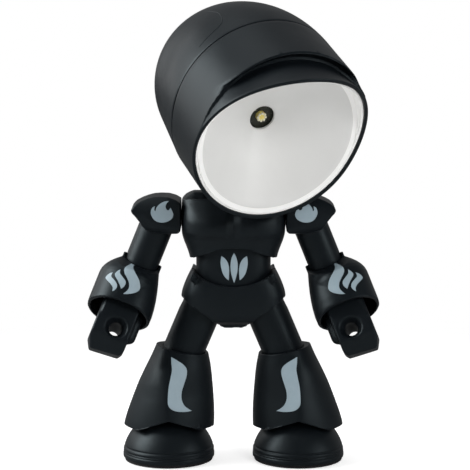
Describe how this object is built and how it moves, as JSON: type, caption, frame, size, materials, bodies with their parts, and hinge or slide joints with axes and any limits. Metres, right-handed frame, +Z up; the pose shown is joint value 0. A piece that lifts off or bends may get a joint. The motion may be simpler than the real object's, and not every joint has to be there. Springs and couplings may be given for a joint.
{
  "type": "desk lamp",
  "caption": "Black robot figure desk lamp with a large round helmet head that holds a white cone reflector and a single LED, on jointed arms, legs and domed feet.",
  "frame": {"origin": "middle of the bounding box on the floor, on the underside of the soles", "axes": "+Z up, face towards -Y, left and right as seen by someone who faces the lamp (left is -X)"},
  "size_m": [0.1324, 0.113, 0.2096],
  "materials": {
    "black_plastic": "satin",
    "white_plastic": "semi-gloss",
    "white_board": "matt white solder mask",
    "led": "silicone",
    "aluminium": "as extruded",
    "cell_wrap": "shrink sleeve",
    "green_board": "solder mask",
    "steel": "bright",
    "ballast_iron": "cast",
    "rubber": "matt",
    "silver_paint": "thin satin print"
  },
  "bodies": {
    "pelvis": {"pelvis_front": "black_plastic", "pelvis_back": "black_plastic", "hip_axle": "steel", "pelvis_screws": "steel", "waist_core": "black_plastic", "waist_stud": "steel"},
    "chest": {"chest_front": "black_plastic", "chest_back": "black_plastic", "torso_frame": "black_plastic", "shoulder_axles": "steel", "chest_screws": "steel", "neck_bush": "steel"},
    "neck": {"neck_knuckle": "black_plastic", "neck_clip": "steel"},
    "head": {"head_front_shell": "black_plastic", "head_rear_shell": "black_plastic", "reflector": "white_plastic", "led_board": "white_board", "led_emitter": "led", "heat_sink": "aluminium", "battery_cell": "cell_wrap", "battery_cradle": "black_plastic", "driver_board": "green_board", "charging_socket": "steel", "switch_body": "black_plastic", "head_screws": "steel", "head_cradle": "black_plastic", "tilt_pin": "steel"},
    "button": {"power_button": "white_plastic"},
    "arm_left": {"shoulder_pad_left": "black_plastic", "upper_arm_left": "black_plastic"},
    "forearm_left": {"gauntlet_left": "black_plastic", "elbow_pin_left": "steel", "wrist_peg_left": "steel"},
    "hand_left": {"hand_left": "black_plastic"},
    "leg_left": {"thigh_left": "black_plastic", "boot_left": "black_plastic", "ankle_stud_left": "steel"},
    "foot_left": {"foot_left": "black_plastic", "ankle_pin_left": "steel", "ballast_left": "ballast_iron", "sole_left": "rubber"},
    "arm_right": {"shoulder_pad_right": "black_plastic", "upper_arm_right": "black_plastic"},
    "forearm_right": {"gauntlet_right": "black_plastic", "elbow_pin_right": "steel", "wrist_peg_right": "steel"},
    "hand_right": {"hand_right": "black_plastic"},
    "leg_right": {"thigh_right": "black_plastic", "boot_right": "black_plastic", "ankle_stud_right": "steel"},
    "foot_right": {"foot_right": "black_plastic", "ankle_pin_right": "steel", "ballast_right": "ballast_iron", "sole_right": "rubber"}
  },
  "joints": [
    {"name": "torso_turn", "type": "hinge", "parent": "pelvis", "child": "chest", "pos_m": [0, 0.02271, 0.1], "axis": [0, 0, 1], "range_deg": [-10, 10]},
    {"name": "neck_turn", "type": "hinge", "parent": "chest", "child": "neck", "pos_m": [0, 0.02271, 0.12], "axis": [0, 0, 1], "range_deg": [-57, 9]},
    {"name": "head_tilt", "type": "hinge", "parent": "neck", "child": "head", "pos_m": [0, 0.02271, 0.1374], "axis": [-0.9135, -0.4067, 0], "range_deg": [-2, 40]},
    {"name": "power_press", "type": "slide", "parent": "head", "child": "button", "axis": [0.3701, -0.8313, -0.4147], "range_m": [0, 0.0008], "stiffness_N_per_m": 600, "springref_m": -0.0004},
    {"name": "shoulder_swing_left", "type": "hinge", "parent": "chest", "child": "arm_left", "pos_m": [-0.033, 0.02271, 0.113], "axis": [-1, 0, 0], "range_deg": [-20, 40]},
    {"name": "elbow_bend_left", "type": "hinge", "parent": "arm_left", "child": "forearm_left", "pos_m": [-0.04169, 0.02271, 0.09149], "axis": [-0.9272, 0, 0.3746], "range_deg": [-25, 10]},
    {"name": "wrist_turn_left", "type": "hinge", "parent": "forearm_left", "child": "hand_left", "pos_m": [-0.05188, 0.01003, 0.06628], "axis": [-0.3395, -0.4226, -0.8403], "range_deg": [-40, 40]},
    {"name": "hip_swing_left", "type": "hinge", "parent": "pelvis", "child": "leg_left", "pos_m": [-0.0134, 0.02271, 0.073], "axis": [-1, 0, 0], "range_deg": [-10, 10]},
    {"name": "ankle_tilt_left", "type": "hinge", "parent": "leg_left", "child": "foot_left", "pos_m": [-0.0292, 0.02271, 0.017], "axis": [1, 0, 0], "range_deg": [-6, 6]},
    {"name": "shoulder_swing_right", "type": "hinge", "parent": "chest", "child": "arm_right", "pos_m": [0.033, 0.02271, 0.113], "axis": [-1, 0, 0], "range_deg": [-20, 40]},
    {"name": "elbow_bend_right", "type": "hinge", "parent": "arm_right", "child": "forearm_right", "pos_m": [0.04169, 0.02271, 0.09149], "axis": [-0.9272, 0, -0.3746], "range_deg": [-25, 10]},
    {"name": "wrist_turn_right", "type": "hinge", "parent": "forearm_right", "child": "hand_right", "pos_m": [0.05188, 0.01003, 0.06628], "axis": [0.3395, -0.4226, -0.8403], "range_deg": [-40, 40]},
    {"name": "hip_swing_right", "type": "hinge", "parent": "pelvis", "child": "leg_right", "pos_m": [0.0134, 0.02271, 0.073], "axis": [-1, 0, 0], "range_deg": [-10, 10]},
    {"name": "ankle_tilt_right", "type": "hinge", "parent": "leg_right", "child": "foot_right", "pos_m": [0.0292, 0.02271, 0.017], "axis": [1, 0, 0], "range_deg": [-6, 6]}
  ]
}
